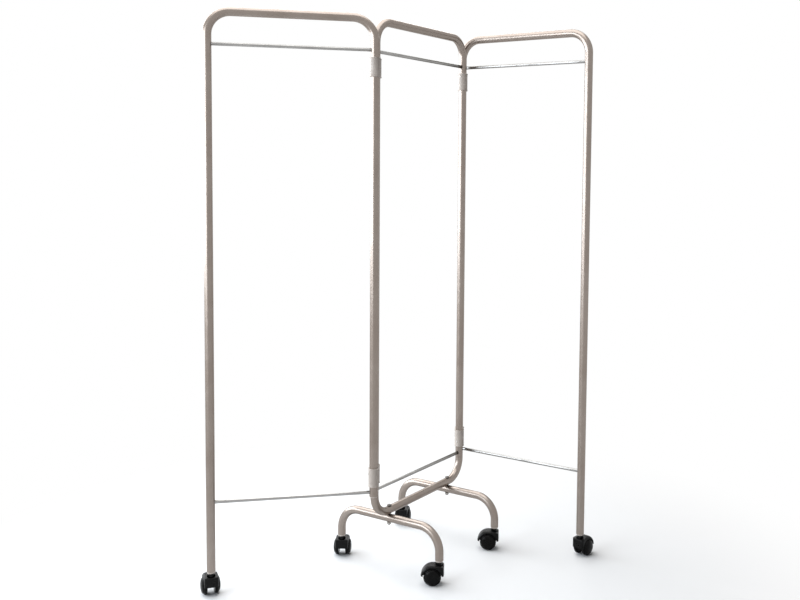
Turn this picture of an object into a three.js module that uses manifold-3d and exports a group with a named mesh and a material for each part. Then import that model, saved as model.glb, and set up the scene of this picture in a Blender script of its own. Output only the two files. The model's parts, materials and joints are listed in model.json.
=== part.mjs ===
// Folding ward screen: a centre frame on two arched feet, with a hinged wing on each side.
// Millimetres, +Z up. The centre frame stands along X and the floor is at Z = 0.
import * as THREE from 'three';
import { mergeVertices } from 'three/addons/utils/BufferGeometryUtils.js';
import Module from 'manifold-3d';

const wasm = await Module();
wasm.setup();

// Tube frames
const OVERALL_HEIGHT = 1700;
const PANEL_WIDTH = 472; // between the axes of one frame's uprights
const TUBE_DIAMETER = 25.4;
const TUBE_WALL = 1.5;
const CORNER_RADIUS = 65; // of the tube's axis
const CENTRE_RAIL_HEIGHT = 192; // axis of the centre frame's bottom rail
const RAIL_JOINT_RISE = 5; // from the rail's bends to its joints with the uprights
const SPIGOT_LENGTH = 6; // by which the rail's ends reach into the uprights
const SPIGOT_WALL = 1.5;
const SHORT_LEG_TAIL = 58; // of a wing's short leg below its lower rod
const LEG_END_HEIGHT = 74.5; // lower end of every tube that carries a castor

// Curtain rods
const ROD_DIAMETER = 10;
const ROD_CLEARANCE = 0.5; // round the rod in its holes
const ROD_END_GAP = 0.5; // from the rod's end to the far side of the bore
const UPPER_ROD_DROP = 104; // from the top of the screen to the rod's axis
const LOWER_ROD_RISE = 18; // from the rail's bends to the centre frame's lower rod
const WING_ROD_STEP = 5; // by which the wings' lower rods are higher than the centre frame's

// Hinge clips: two rings side by side, with a web between their bores
const CLIP_HEIGHT = 56;
const CLIP_WALL = 2.6;
const CLIP_LIP = 0.9; // how far the flared lip at each end stands out
const CLIP_LIP_HEIGHT = 4;
const CLIP_WEB = 5.3; // least thickness between the two bores
const CLIP_NECK = 15; // width of the web across the clip
const CLIP_CLEARANCE = 0.5; // round the tube in its ring
const UPPER_CLIP_TO_ROD = 22; // from the clip's upper end to the upper rod's axis
const LOWER_CLIP_TO_ROD = 18; // from the clip's lower end to the wing's lower rod's axis

// Feet
const FOOT_SPAN = 380; // between the axes of a foot's legs
const FOOT_SETBACK = 9; // from the end of the rail's bend to the foot
const FOOT_LEG_STRAIGHT = 21.8; // of a leg below its bend
const BOLT_DIAMETER = 8;
const BOLT_CLEARANCE = 0.5;
const BOLT_HEAD_DIAMETER = 15;
const BOLT_HEAD_HEIGHT = 4.5;
const NUT_WIDTH = 13; // across flats
const NUT_HEIGHT = 6.5;
const BOLT_TAIL = 2.5; // thread showing below the nut

// Castors
const WHEEL_DIAMETER = 54;
const WHEEL_GAP = 20.4; // between the inner faces of the two wheels
const WHEEL_WIDTH = 19;
const WHEEL_TREAD = 5; // flat part of the tread
const WHEEL_CHAMFER = 2.6; // between the tread and the inner face
const AXLE_DIAMETER = 6;
const AXLE_CLEARANCE = 0.35;
const AXLE_ENGAGEMENT = 13; // length of axle inside each wheel
const TRAIL = 20; // from the stem's axis to the axle
const HOOD_RADIUS = 37; // of the cover behind the axle
const HOOD_WIDTH = 42;
const HOOD_EDGE = 1.8; // thickness of the cover at its open sides
const HOOD_SHOULDER = 12; // width of the rounded shoulder
const HOOD_FRONT = 14.5; // from the stem's axis to the front wall
const HOOD_FRONT_TOP = 58.5; // height of the front wall's upper edge
const HOOD_FRONT_ROUND = 6;
const HOOD_CORNER_RADIUS = 7; // upright corners of the front wall
const HOOD_SKIRT_HEIGHT = 30; // lower edge of the cover
const AXLE_BOSS_DIAMETER = 20;
const WHEEL_HOOD_GAP = 2;
const WHEEL_SIDE_GAP = 0.4; // between a wheel and the web of the hood
const STEM_DIAMETER = 11;
const STEM_CLEARANCE = 0.4;
const STEM_SOCKET_FLOOR = 33;
const NECK_DIAMETER = 16;
const PIT_DIAMETER = 24.4; // recess round the neck in the top of the hood
const PIT_FLOOR = 51;
const INSERT_FLANGE_HEIGHT = 4.5;
const INSERT_DEPTH = 20;
const INSERT_TAPER = 0.8; // by which a flange narrows towards its lower edge
const INSERT_CLEARANCE = 0.3;
const END_PLUG_DEPTH = 15;
const END_PLUG_FLANGE = 3;
const SEAT_GAP = 0.3; // between pieces that rest on each other

// How the screen stands, in degrees from +X
const LEFT_CLIP_ANGLE = 213; // from the centre upright to the left wing's upright
const LEFT_WING_ANGLE = 134;
const RIGHT_CLIP_ANGLE = 33;
const RIGHT_WING_ANGLE = -90;
const CASTOR_ANGLES = {
  left_wing: 235, left_back: 213, left_front: 301, right_back: 205, right_front: 298, right_wing: 171,
};

// Facets
const TUBE_SIDES = 16;
const BORE_SIDES = 8;
const BEND_STEPS = 5;
const RING_SIDES = 16;
const WHEEL_SIDES = 18;
const HOOD_SIDES = 16;
const SMALL_SIDES = 10;
const OUTLINE_STEPS = 4;
const SHOULDER_STEPS = 2;
const CHEEK_STEPS = 3;

// Places that follow from the sizes above
const TUBE_RADIUS = TUBE_DIAMETER / 2;
const BORE_RADIUS = TUBE_RADIUS - TUBE_WALL;
const TOP_AXIS = OVERALL_HEIGHT - TUBE_RADIUS;
const UPPER_ROD_HEIGHT = OVERALL_HEIGHT - UPPER_ROD_DROP;
const RAIL_BEND_END = CENTRE_RAIL_HEIGHT + CORNER_RADIUS;
const RAIL_JOINT = RAIL_BEND_END + RAIL_JOINT_RISE;
const CENTRE_LOWER_ROD_HEIGHT = RAIL_BEND_END + LOWER_ROD_RISE;
const WING_LOWER_ROD_HEIGHT = CENTRE_LOWER_ROD_HEIGHT + WING_ROD_STEP;
const WING_INNER_END_HEIGHT = WING_LOWER_ROD_HEIGHT - SHORT_LEG_TAIL;
const HINGE_PITCH = TUBE_DIAMETER + 2 * CLIP_CLEARANCE + CLIP_WEB;
const RING_RADIUS = TUBE_RADIUS + CLIP_CLEARANCE + CLIP_WALL;
const UPPER_CLIP_BASE = UPPER_ROD_HEIGHT - UPPER_CLIP_TO_ROD - CLIP_HEIGHT;
const LOWER_CLIP_BASE = WING_LOWER_ROD_HEIGHT + LOWER_CLIP_TO_ROD;
const FOOT_INSET = CORNER_RADIUS + FOOT_SETBACK;
const FOOT_AXIS = CENTRE_RAIL_HEIGHT - TUBE_DIAMETER - SEAT_GAP;
const FOOT_BEND_RADIUS = FOOT_AXIS - LEG_END_HEIGHT - FOOT_LEG_STRAIGHT;
const AXLE_HEIGHT = WHEEL_DIAMETER / 2 * Math.cos(Math.PI / WHEEL_SIDES);
const POCKET_RADIUS = WHEEL_DIAMETER / 2 + WHEEL_HOOD_GAP;
const HOOD_WEB = WHEEL_GAP - 2 * WHEEL_SIDE_GAP;

const PAINT = { color: 0x93877b, roughness: 0.38, metalness: 0.45 };
const CHROME = { color: 0xcfcfcb, roughness: 0.15, metalness: 1 };
const ZINC = { color: 0x8d8a84, roughness: 0.4, metalness: 0.9 };
const CLIP_PLASTIC = { color: 0xc3bcb3, roughness: 0.5, metalness: 0 };
const BLACK_PLASTIC = { color: 0x191817, roughness: 0.35, metalness: 0 };
const BLACK_TYRE = { color: 0x141414, roughness: 0.5, metalness: 0 };

const radians = THREE.MathUtils.degToRad;

// Solids and joins

function solidOf(geometry) {
  const bare = geometry.clone();
  bare.deleteAttribute('normal');
  bare.deleteAttribute('uv');
  const merged = mergeVertices(bare, 1e-4);
  return new wasm.Manifold(new wasm.Mesh({
    numProp: 3,
    vertProperties: new Float32Array(merged.attributes.position.array),
    triVerts: new Uint32Array(merged.index.array),
  }));
}

function geometryOf(solid) {
  const mesh = solid.getMesh();
  const geometry = new THREE.BufferGeometry();
  geometry.setAttribute('position', new THREE.BufferAttribute(Float32Array.from(mesh.vertProperties), 3));
  geometry.setIndex(new THREE.BufferAttribute(Uint32Array.from(mesh.triVerts), 1));
  geometry.computeVertexNormals();
  return geometry;
}

function cutAway(solid, cutters) {
  return cutters.reduce((rest, cutter) => rest.subtract(cutter), solid);
}

// A body turned round Z from [radius, height] pairs that run up its outside.
function turned(profile, sides) {
  const points = profile.map(([r, z]) => new THREE.Vector2(r, z));
  return new THREE.LatheGeometry(points, sides).rotateX(Math.PI / 2);
}

function rod(radius, bottom, top, sides) {
  return turned([[0, bottom], [radius, bottom], [radius, top], [0, top]], sides);
}

// A straight round bar from one point to another.
function bar(radius, from, to, sides) {
  const direction = to.clone().sub(from);
  const geometry = rod(radius, 0, direction.length(), sides);
  const turn = new THREE.Quaternion().setFromUnitVectors(new THREE.Vector3(0, 0, 1), direction.normalize());
  return geometry.applyQuaternion(turn).translate(from.x, from.y, from.z);
}

// A side view drawn in X and Z, extruded along Y about the middle.
function sideExtrusion(shape, width, segments) {
  const geometry = new THREE.ExtrudeGeometry(shape, {
    depth: width, bevelEnabled: false, curveSegments: segments,
  });
  return geometry.rotateX(Math.PI / 2).translate(0, width / 2, 0);
}

// Bent tubes

// The axis of a bent tube: straight runs joined by arcs, with one section at each end of a run
// and equal steps round each arc.
class BentAxis extends THREE.Curve {
  constructor(corners, radius) {
    super();
    this.stations = [];
    const last = corners.length - 1;
    corners.forEach((corner, i) => {
      if (i === 0 || i === last) {
        const [from, to] = i === 0 ? [corner, corners[1]] : [corners[i - 1], corner];
        this.stations.push({ point: corner, tangent: to.clone().sub(from).normalize() });
      } else {
        this.bend(corners[i - 1], corner, corners[i + 1], radius);
      }
    });
  }

  // The quarter turn at a square corner.
  bend(before, corner, after, radius) {
    const inward = corner.clone().sub(before).normalize();
    const onward = after.clone().sub(corner).normalize();
    const centre = corner.clone().addScaledVector(inward, -radius).addScaledVector(onward, radius);
    for (let step = 0; step <= BEND_STEPS; step += 1) {
      const angle = Math.PI / 2 * step / BEND_STEPS;
      const point = centre.clone()
        .addScaledVector(onward, -radius * Math.cos(angle))
        .addScaledVector(inward, radius * Math.sin(angle));
      const tangent = inward.clone().multiplyScalar(Math.cos(angle))
        .addScaledVector(onward, Math.sin(angle));
      this.stations.push({ point, tangent });
    }
  }

  station(t) {
    return this.stations[Math.round(t * (this.stations.length - 1))];
  }

  getPoint(t, target = new THREE.Vector3()) {
    return target.copy(this.station(t).point);
  }

  getTangent(t, target = new THREE.Vector3()) {
    return target.copy(this.station(t).tangent);
  }

  getUtoTmapping(u) {
    return u;
  }
}

function circle(radius, sides) {
  const angles = Array.from({ length: sides }, (_, i) => 2 * Math.PI * i / sides);
  return angles.map((a) => new THREE.Vector2(radius * Math.cos(a), radius * Math.sin(a)));
}

// An open tube, with its bore running from end to end.
function openTube(corners, radius) {
  const section = new THREE.Shape(circle(TUBE_RADIUS, TUBE_SIDES));
  section.holes.push(new THREE.Path(circle(BORE_RADIUS, BORE_SIDES)));
  const axis = new BentAxis(corners, radius);
  return solidOf(new THREE.ExtrudeGeometry(section, { steps: axis.stations.length - 1, extrudePath: axis }));
}

function at(x, z) {
  return new THREE.Vector3(x, 0, z);
}

// A hole for a curtain rod through the wall that faces the panel: from the tube's axis inward.
function rodHole(x, inward, height) {
  const reach = inward * TUBE_DIAMETER;
  return solidOf(bar(ROD_DIAMETER / 2 + ROD_CLEARANCE, at(x, height), at(x + reach, height), SMALL_SIDES));
}

function rodHoles(heights) {
  return heights.flatMap((height) => [rodHole(0, 1, height), rodHole(PANEL_WIDTH, -1, height)]);
}

// A rod reaches into both bores until its rim nearly meets the far wall.
function curtainRod(height) {
  const boreFlat = BORE_RADIUS * Math.cos(Math.PI / BORE_SIDES);
  const reach = Math.sqrt(boreFlat ** 2 - (ROD_DIAMETER / 2) ** 2) - ROD_END_GAP;
  return bar(ROD_DIAMETER / 2, at(-reach, height), at(PANEL_WIDTH + reach, height), SMALL_SIDES);
}

// Frames

// The loop of the centre frame is closed by two joints, just above the bends of its rail.
function centreFrame() {
  const foot = RAIL_JOINT + SEAT_GAP;
  const tube = openTube([
    at(0, foot), at(0, TOP_AXIS), at(PANEL_WIDTH, TOP_AXIS), at(PANEL_WIDTH, foot),
  ], CORNER_RADIUS);
  return geometryOf(cutAway(tube, rodHoles([UPPER_ROD_HEIGHT, CENTRE_LOWER_ROD_HEIGHT])));
}

function centreRail() {
  const rail = CENTRE_RAIL_HEIGHT;
  const tube = openTube([
    at(0, RAIL_JOINT), at(0, rail), at(PANEL_WIDTH, rail), at(PANEL_WIDTH, RAIL_JOINT),
  ], CORNER_RADIUS);
  const boltHoles = [FOOT_INSET, PANEL_WIDTH - FOOT_INSET].map((x) => boltHole(x, rail));
  return geometryOf(cutAway(tube.add(spigot(0)).add(spigot(PANEL_WIDTH)), boltHoles));
}

// A short sleeve that starts inside the rail's wall and fills the bore of the upright above it.
function spigot(x) {
  const seated = (TUBE_RADIUS + BORE_RADIUS) / 2;
  const outside = BORE_RADIUS * Math.cos(Math.PI / BORE_SIDES) - SEAT_GAP;
  const bottom = RAIL_JOINT - RAIL_JOINT_RISE;
  const top = RAIL_JOINT + SPIGOT_LENGTH;
  const sleeve = solidOf(turned([
    [0, bottom], [seated, bottom], [seated, RAIL_JOINT], [outside, RAIL_JOINT], [outside, top], [0, top],
  ], BORE_SIDES));
  const bore = solidOf(rod(outside - SPIGOT_WALL, bottom - SPIGOT_LENGTH, top + SPIGOT_LENGTH, BORE_SIDES));
  return sleeve.subtract(bore).translate(x, 0, 0);
}

// A wing hangs from its short leg at X = 0 and rolls on the long one.
function wingFrame() {
  const tube = openTube([
    at(0, WING_INNER_END_HEIGHT), at(0, TOP_AXIS), at(PANEL_WIDTH, TOP_AXIS), at(PANEL_WIDTH, LEG_END_HEIGHT),
  ], CORNER_RADIUS);
  return geometryOf(cutAway(tube, rodHoles([UPPER_ROD_HEIGHT, WING_LOWER_ROD_HEIGHT])));
}

function boltHole(x, axisHeight) {
  const radius = BOLT_DIAMETER / 2 + BOLT_CLEARANCE;
  const [bottom, top] = [axisHeight - TUBE_DIAMETER, axisHeight + TUBE_DIAMETER];
  return solidOf(bar(radius, at(x, bottom), at(x, top), SMALL_SIDES));
}

// An arched foot, drawn across X = 0 and turned to lie along Y.
function foot() {
  const half = FOOT_SPAN / 2;
  const arch = openTube([
    at(-half, LEG_END_HEIGHT), at(-half, FOOT_AXIS), at(half, FOOT_AXIS), at(half, LEG_END_HEIGHT),
  ], FOOT_BEND_RADIUS);
  return geometryOf(cutAway(arch, [boltHole(0, FOOT_AXIS)])).rotateZ(Math.PI / 2);
}

// Bolt through rail and foot, with a low domed head on the rail.
function footBolt() {
  const seat = CENTRE_RAIL_HEIGHT + TUBE_RADIUS + SEAT_GAP;
  const tail = FOOT_AXIS - TUBE_RADIUS - SEAT_GAP - NUT_HEIGHT - BOLT_TAIL;
  const shank = BOLT_DIAMETER / 2;
  const head = BOLT_HEAD_DIAMETER / 2;
  return turned([
    [0, tail], [shank, tail], [shank, seat], [head, seat], [head, seat + BOLT_HEAD_HEIGHT * 0.3],
    [head * 0.82, seat + BOLT_HEAD_HEIGHT * 0.75], [head * 0.45, seat + BOLT_HEAD_HEIGHT],
    [0, seat + BOLT_HEAD_HEIGHT],
  ], SMALL_SIDES);
}

function footNut() {
  const top = FOOT_AXIS - TUBE_RADIUS - SEAT_GAP;
  const corner = NUT_WIDTH / 2 / Math.cos(Math.PI / 6);
  const blank = solidOf(rod(corner, top - NUT_HEIGHT, top, 6));
  const boreRadius = BOLT_DIAMETER / 2 + SEAT_GAP;
  const bore = solidOf(rod(boreRadius, top - 2 * NUT_HEIGHT, top + NUT_HEIGHT, SMALL_SIDES));
  return geometryOf(blank.subtract(bore));
}

// Hinge clips

// A figure of eight: the first ring on the Z axis, the second along +X.
function hingeClip(base) {
  const lip = RING_RADIUS + CLIP_LIP;
  const profile = [
    [0, 0], [lip, 0], [RING_RADIUS, CLIP_LIP_HEIGHT], [RING_RADIUS, CLIP_HEIGHT - CLIP_LIP_HEIGHT],
    [lip, CLIP_HEIGHT], [0, CLIP_HEIGHT],
  ];
  const ring = solidOf(turned(profile, RING_SIDES));
  const web = solidOf(new THREE.BoxGeometry(HINGE_PITCH, CLIP_NECK, CLIP_HEIGHT)
    .translate(HINGE_PITCH / 2, 0, CLIP_HEIGHT / 2));
  const bore = solidOf(rod(TUBE_RADIUS + CLIP_CLEARANCE, -CLIP_HEIGHT, 2 * CLIP_HEIGHT, RING_SIDES));
  const blank = ring.add(ring.translate(HINGE_PITCH, 0, 0)).add(web);
  return geometryOf(cutAway(blank, [bore, bore.translate(HINGE_PITCH, 0, 0)]).translate(0, 0, base));
}

// Tube ends

// Plastic insert in a leg's end, bored for the castor's stem.
function castorInsert() {
  const flange = LEG_END_HEIGHT - SEAT_GAP;
  const plug = BORE_RADIUS * Math.cos(Math.PI / BORE_SIDES) - INSERT_CLEARANCE;
  const body = solidOf(turned([
    [0, flange - INSERT_FLANGE_HEIGHT], [TUBE_RADIUS - INSERT_TAPER, flange - INSERT_FLANGE_HEIGHT],
    [TUBE_RADIUS, flange], [plug, flange], [plug, flange + INSERT_DEPTH], [0, flange + INSERT_DEPTH],
  ], TUBE_SIDES));
  const bore = rod(STEM_DIAMETER / 2 + STEM_CLEARANCE, 0, flange + 2 * INSERT_DEPTH, SMALL_SIDES);
  return geometryOf(body.subtract(solidOf(bore)));
}

// Plug that closes the lower end of a wing's short leg.
function endPlug() {
  const seat = WING_INNER_END_HEIGHT - SEAT_GAP;
  const plug = BORE_RADIUS * Math.cos(Math.PI / BORE_SIDES) - INSERT_CLEARANCE;
  return turned([
    [0, seat - END_PLUG_FLANGE], [TUBE_RADIUS - INSERT_TAPER, seat - END_PLUG_FLANGE],
    [TUBE_RADIUS, seat], [plug, seat], [plug, seat + END_PLUG_DEPTH], [0, seat + END_PLUG_DEPTH],
  ], TUBE_SIDES);
}

// Castors: the stem is on the Z axis, the front wall towards +X and the wheels trail towards -X.

function castorStem() {
  const neckTop = LEG_END_HEIGHT - 2 * SEAT_GAP - INSERT_FLANGE_HEIGHT;
  const neckBottom = PIT_FLOOR + SEAT_GAP;
  const shank = STEM_DIAMETER / 2;
  const top = neckTop + INSERT_FLANGE_HEIGHT + INSERT_DEPTH - STEM_CLEARANCE;
  const bottom = STEM_SOCKET_FLOOR + SEAT_GAP;
  return turned([
    [0, bottom], [shank, bottom], [shank, neckBottom], [NECK_DIAMETER / 2, neckBottom],
    [NECK_DIAMETER / 2, neckTop], [shank, neckTop], [shank, top], [0, top],
  ], SMALL_SIDES);
}

// Angles in equal steps from 0 to a quarter turn.
function quarterSteps(steps) {
  return Array.from({ length: steps + 1 }, (_, i) => Math.PI / 2 * i / steps);
}

// Side view of the hood: front wall, sloping top, round back, and the axle boss below the skirt.
function hoodOutline() {
  const shape = new THREE.Shape();
  const domeTop = new THREE.Vector2(HOOD_FRONT - HOOD_FRONT_ROUND + TRAIL, HOOD_FRONT_TOP - AXLE_HEIGHT);
  const touch = domeTop.angle() + Math.acos(HOOD_RADIUS / domeTop.length());
  const drop = HOOD_SKIRT_HEIGHT - AXLE_HEIGHT;
  const back = Math.PI - Math.asin(drop / HOOD_RADIUS);
  const bossRadius = AXLE_BOSS_DIAMETER / 2;
  const bossEdge = Math.asin(drop / bossRadius);
  const round = HOOD_FRONT_ROUND;
  shape.moveTo(HOOD_FRONT, HOOD_SKIRT_HEIGHT);
  for (const a of quarterSteps(SHOULDER_STEPS)) {
    shape.lineTo(HOOD_FRONT - round * (1 - Math.cos(a)), HOOD_FRONT_TOP - round * (1 - Math.sin(a)));
  }
  shape.absarc(-TRAIL, AXLE_HEIGHT, HOOD_RADIUS, touch, back, false);
  shape.absarc(-TRAIL, AXLE_HEIGHT, bossRadius, Math.PI - bossEdge, 2 * Math.PI + bossEdge, false);
  shape.closePath();
  return shape;
}

// Cross-section of the cover as [distance from the axle, sideways], from one side to the other.
function hoodSection() {
  const half = HOOD_WIDTH / 2;
  const rim = POCKET_RADIUS + HOOD_EDGE;
  const shoulder = quarterSteps(SHOULDER_STEPS).map((a) => [
    rim + (HOOD_RADIUS - rim) * Math.sin(a), half - HOOD_SHOULDER * (1 - Math.cos(a)),
  ]);
  const mirrored = shoulder.map(([r, y]) => [r, -y]);
  return [...mirrored, ...shoulder.reverse()];
}

// The cover: its back is turned round the axle, and its front carries the same section forward,
// past the front wall, where the side view trims it.
function hoodCover() {
  const section = hoodSection();
  const half = HOOD_WIDTH / 2;
  const profile = [[0, -half], ...section, [0, half]].map(([r, y]) => new THREE.Vector2(r, y));
  const back = solidOf(new THREE.LatheGeometry(profile, HOOD_SIDES).translate(-TRAIL, 0, AXLE_HEIGHT));
  const outline = new THREE.Shape(
    [[0, -half], ...section, [0, half]].map(([r, y]) => new THREE.Vector2(y, r)),
  );
  const depth = HOOD_FRONT + TRAIL + HOOD_CORNER_RADIUS;
  const front = new THREE.ExtrudeGeometry(outline, { depth, bevelEnabled: false })
    .rotateX(Math.PI / 2).rotateZ(Math.PI / 2).translate(-TRAIL, 0, AXLE_HEIGHT);
  return back.add(solidOf(front));
}

// Plan view of the hood, with rounded corners at the front wall.
function hoodPlan() {
  const half = HOOD_WIDTH / 2;
  const round = HOOD_CORNER_RADIUS;
  const tail = -TRAIL - 2 * HOOD_RADIUS;
  const shape = new THREE.Shape();
  shape.absarc(HOOD_FRONT - round, -half + round, round, -Math.PI / 2, 0, false);
  shape.absarc(HOOD_FRONT - round, half - round, round, 0, Math.PI / 2, false);
  shape.lineTo(tail, half);
  shape.lineTo(tail, -half);
  shape.closePath();
  const height = 2 * HOOD_FRONT_TOP;
  return solidOf(new THREE.ExtrudeGeometry(shape, { depth: height, bevelEnabled: false, curveSegments: 2 }));
}

function castorHood() {
  const side = solidOf(sideExtrusion(hoodOutline(), 2 * HOOD_WIDTH, OUTLINE_STEPS));
  const axle = new THREE.Vector3(-TRAIL, 0, AXLE_HEIGHT);
  const pockets = [-1, 1].map((way) => solidOf(bar(
    POCKET_RADIUS,
    axle.clone().setY(way * HOOD_WEB / 2),
    axle.clone().setY(way * HOOD_WIDTH),
    HOOD_SIDES,
  )));
  const axleBore = solidOf(bar(
    AXLE_DIAMETER / 2 + SEAT_GAP, axle.clone().setY(-HOOD_WIDTH), axle.clone().setY(HOOD_WIDTH), SMALL_SIDES,
  ));
  const pit = solidOf(rod(PIT_DIAMETER / 2, PIT_FLOOR, 2 * HOOD_FRONT_TOP, SMALL_SIDES));
  const socket = solidOf(rod(
    STEM_DIAMETER / 2 + STEM_CLEARANCE, STEM_SOCKET_FLOOR, 2 * HOOD_FRONT_TOP, SMALL_SIDES,
  ));
  const shape = hoodCover().intersect(side).intersect(hoodPlan());
  return geometryOf(cutAway(shape, [...pockets, axleBore, pit, socket]));
}

function castorAxle() {
  const reach = WHEEL_GAP / 2 + AXLE_ENGAGEMENT;
  const axle = new THREE.Vector3(-TRAIL, 0, AXLE_HEIGHT);
  return bar(AXLE_DIAMETER / 2, axle.clone().setY(-reach), axle.clone().setY(reach), SMALL_SIDES);
}

// A wheel's section as [radius, distance from its inner face], from the middle of its domed
// outer face, over the tread, to the blind bore for the axle.
function wheelSection() {
  const radius = WHEEL_DIAMETER / 2;
  const bore = AXLE_DIAMETER / 2 + AXLE_CLEARANCE;
  const treadEnd = WHEEL_CHAMFER + WHEEL_TREAD;
  const cheek = quarterSteps(CHEEK_STEPS).slice(1, -1).map((angle) => [
    radius * Math.cos(angle), treadEnd + (WHEEL_WIDTH - treadEnd) * Math.sin(angle),
  ]);
  return [
    [0, WHEEL_WIDTH], ...cheek.reverse(), [radius, treadEnd], [radius, WHEEL_CHAMFER],
    [radius - WHEEL_CHAMFER, 0], [bore, 0],
    [bore, AXLE_ENGAGEMENT + AXLE_CLEARANCE], [0, AXLE_ENGAGEMENT + AXLE_CLEARANCE],
  ];
}

function castorWheel(way) {
  const points = wheelSection().map(([r, y]) => new THREE.Vector2(r, way * (WHEEL_GAP / 2 + y)));
  if (way > 0) points.reverse();
  return new THREE.LatheGeometry(points, WHEEL_SIDES)
    .rotateY(Math.PI / WHEEL_SIDES)
    .translate(-TRAIL, 0, AXLE_HEIGHT);
}

// Assembly

function piece(parent, name, geometry, look) {
  const mesh = new THREE.Mesh(geometry, new THREE.MeshStandardMaterial({ ...look, flatShading: true }));
  mesh.name = name;
  parent.add(mesh);
  return mesh;
}

function turnedGroup(parent, name, x, y, degrees) {
  const group = new THREE.Group();
  group.name = name;
  group.position.set(x, y, 0);
  group.rotation.z = radians(degrees);
  parent.add(group);
  return group;
}

const castorShapes = {
  insert: castorInsert(), stem: castorStem(), hood: castorHood(), axle: castorAxle(),
  wheel_a: castorWheel(-1), wheel_b: castorWheel(1),
};

// A castor under a leg at (x, y); the angle is the way its front wall faces, in the screen's frame.
function addCastor(parent, place, x, y, parentAngle) {
  const swivel = turnedGroup(parent, `${place}_castor`, x, y, CASTOR_ANGLES[place] - parentAngle);
  piece(swivel, `${place}_castor_insert`, castorShapes.insert, CLIP_PLASTIC);
  piece(swivel, `${place}_castor_stem`, castorShapes.stem, ZINC);
  piece(swivel, `${place}_castor_hood`, castorShapes.hood, BLACK_PLASTIC);
  piece(swivel, `${place}_castor_axle`, castorShapes.axle, ZINC);
  piece(swivel, `${place}_castor_wheel_a`, castorShapes.wheel_a, BLACK_TYRE);
  piece(swivel, `${place}_castor_wheel_b`, castorShapes.wheel_b, BLACK_TYRE);
}

// The two clips of one hinge; the first ring is the one fixed to its upright.
function addClips(parent, side, x, angle) {
  const hinge = turnedGroup(parent, `${side}_clips`, x, 0, angle);
  piece(hinge, `${side}_upper_clip`, hingeClip(UPPER_CLIP_BASE), CLIP_PLASTIC);
  piece(hinge, `${side}_lower_clip`, hingeClip(LOWER_CLIP_BASE), CLIP_PLASTIC);
}

function addWing(parent, side, x, y, angle) {
  const wing = turnedGroup(parent, `${side}_wing`, x, y, angle);
  piece(wing, `${side}_wing_frame`, wingFrame(), PAINT);
  piece(wing, `${side}_upper_rod`, curtainRod(UPPER_ROD_HEIGHT), CHROME);
  piece(wing, `${side}_lower_rod`, curtainRod(WING_LOWER_ROD_HEIGHT), CHROME);
  piece(wing, `${side}_end_plug`, endPlug(), CLIP_PLASTIC);
  return wing;
}

const screen = new THREE.Group();
screen.name = 'ward_screen';

// Centre frame and feet. The right-hand clips are fixed to its right upright.
piece(screen, 'centre_frame', centreFrame(), PAINT);
piece(screen, 'centre_rail', centreRail(), PAINT);
piece(screen, 'centre_upper_rod', curtainRod(UPPER_ROD_HEIGHT), CHROME);
piece(screen, 'centre_lower_rod', curtainRod(CENTRE_LOWER_ROD_HEIGHT), CHROME);
[['left', FOOT_INSET], ['right', PANEL_WIDTH - FOOT_INSET]].forEach(([side, x]) => {
  piece(screen, `${side}_foot`, foot(), PAINT).position.x = x;
  piece(screen, `${side}_foot_bolt`, footBolt(), ZINC).position.x = x;
  piece(screen, `${side}_foot_nut`, footNut(), ZINC).position.x = x;
  addCastor(screen, `${side}_front`, x, -FOOT_SPAN / 2, 0);
  addCastor(screen, `${side}_back`, x, FOOT_SPAN / 2, 0);
});
addClips(screen, 'right', PANEL_WIDTH, RIGHT_CLIP_ANGLE);

// From one upright of a hinge to the other.
function hingeStep(degrees) {
  const angle = radians(degrees);
  return new THREE.Vector2(HINGE_PITCH * Math.cos(angle), HINGE_PITCH * Math.sin(angle));
}

// Right wing: its upright turns in the second ring of the right-hand clips.
const rightHinge = hingeStep(RIGHT_CLIP_ANGLE);
const rightWing = addWing(screen, 'right', PANEL_WIDTH + rightHinge.x, rightHinge.y, RIGHT_WING_ANGLE);
addCastor(rightWing, 'right_wing', PANEL_WIDTH, 0, RIGHT_WING_ANGLE);

// Left wing: its clips are fixed to its own upright and turn round the centre frame's left one.
const leftHinge = hingeStep(LEFT_CLIP_ANGLE);
const leftWing = addWing(screen, 'left', leftHinge.x, leftHinge.y, LEFT_WING_ANGLE);
addClips(leftWing, 'left', 0, LEFT_CLIP_ANGLE + 180 - LEFT_WING_ANGLE);
addCastor(leftWing, 'left_wing', PANEL_WIDTH, 0, LEFT_WING_ANGLE);

// The origin is on the floor, at the middle of the footprint.
const bounds = new THREE.Box3().setFromObject(screen, true);
const middle = bounds.getCenter(new THREE.Vector3());
screen.position.set(-middle.x, -middle.y, -bounds.min.z);
screen.updateMatrixWorld(true);

export default screen;
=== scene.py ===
# Folding ward screen: a centre frame on arched feet, a hinged wing on each side, curtain rods,
# plastic hinge clips and twin-wheel castors. Metres, +Z up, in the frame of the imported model.
import json
import math

import bmesh
import bpy
from mathutils import Matrix, Vector


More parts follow.
